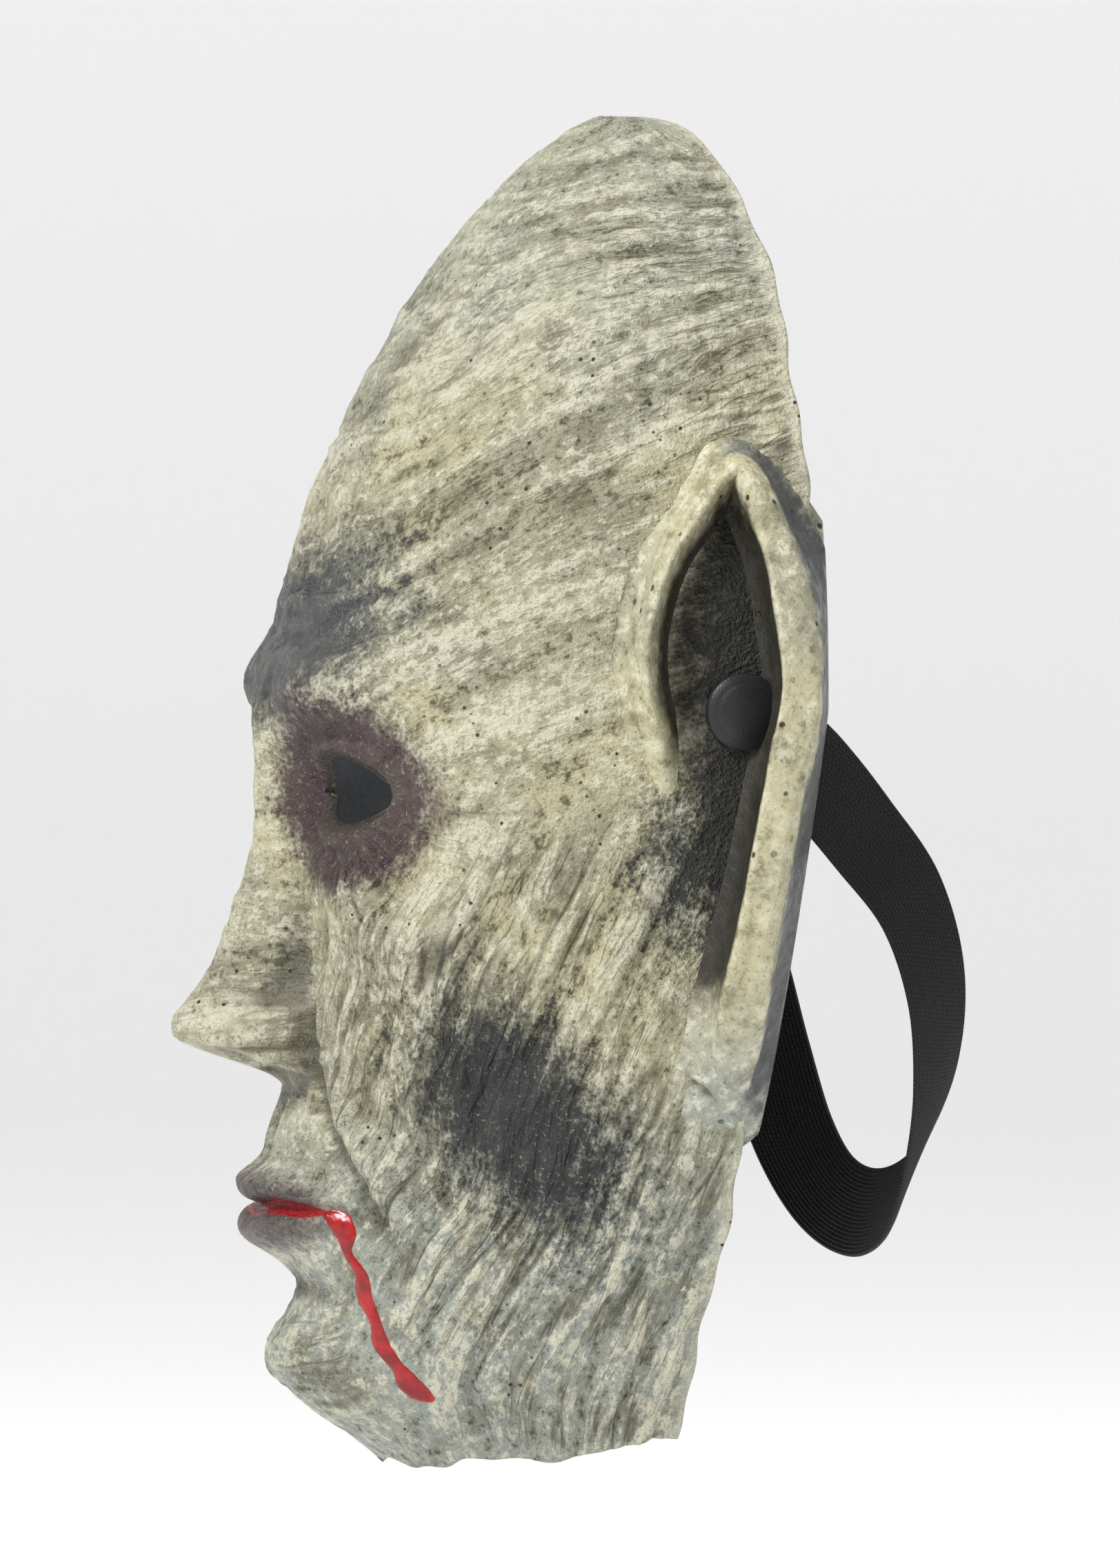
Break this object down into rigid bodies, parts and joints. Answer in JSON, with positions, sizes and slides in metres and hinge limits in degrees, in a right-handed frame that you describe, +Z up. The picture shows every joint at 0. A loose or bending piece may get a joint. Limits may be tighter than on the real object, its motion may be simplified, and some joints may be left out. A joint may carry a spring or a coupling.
{
  "type": "latex halloween mask",
  "caption": "Latex half-head mask with a tall bald crown, pointed ears, two eye holes and a black elastic strap held by a round snap in each ear.",
  "frame": {"origin": "midpoint between the two strap snaps, on the line through their posts, which is the middle of the wearer's head at ear level", "axes": "+Z up through the crown, -Y forward through the nose, +X to the wearer's left; the row stands as worn"},
  "size_m": [0.197, 0.1624, 0.286],
  "materials": {
    "painted_latex": "matte painted latex, cream dry-brushed over olive and charcoal",
    "black_plastic": "matte moulded plastic",
    "patch_cloth": "plain woven cloth soaked in latex",
    "black_elastic": "knitted elastic with fine ribs along it"
  },
  "bodies": {
    "root": {"face_shell": "painted_latex", "left_ear": "painted_latex", "right_ear": "painted_latex", "left_snap_cap": "black_plastic", "right_snap_cap": "black_plastic", "left_snap_socket": "black_plastic", "right_snap_socket": "black_plastic", "left_strap_patch": "patch_cloth", "right_strap_patch": "patch_cloth"},
    "strap": {"elastic_strap": "black_elastic"}
  },
  "joints": [
    {"name": "strap_swing", "type": "hinge", "parent": "root", "child": "strap", "pos_m": [0, 0, 0], "axis": [1, 0, 0], "range_deg": [-8, 75]}
  ]
}
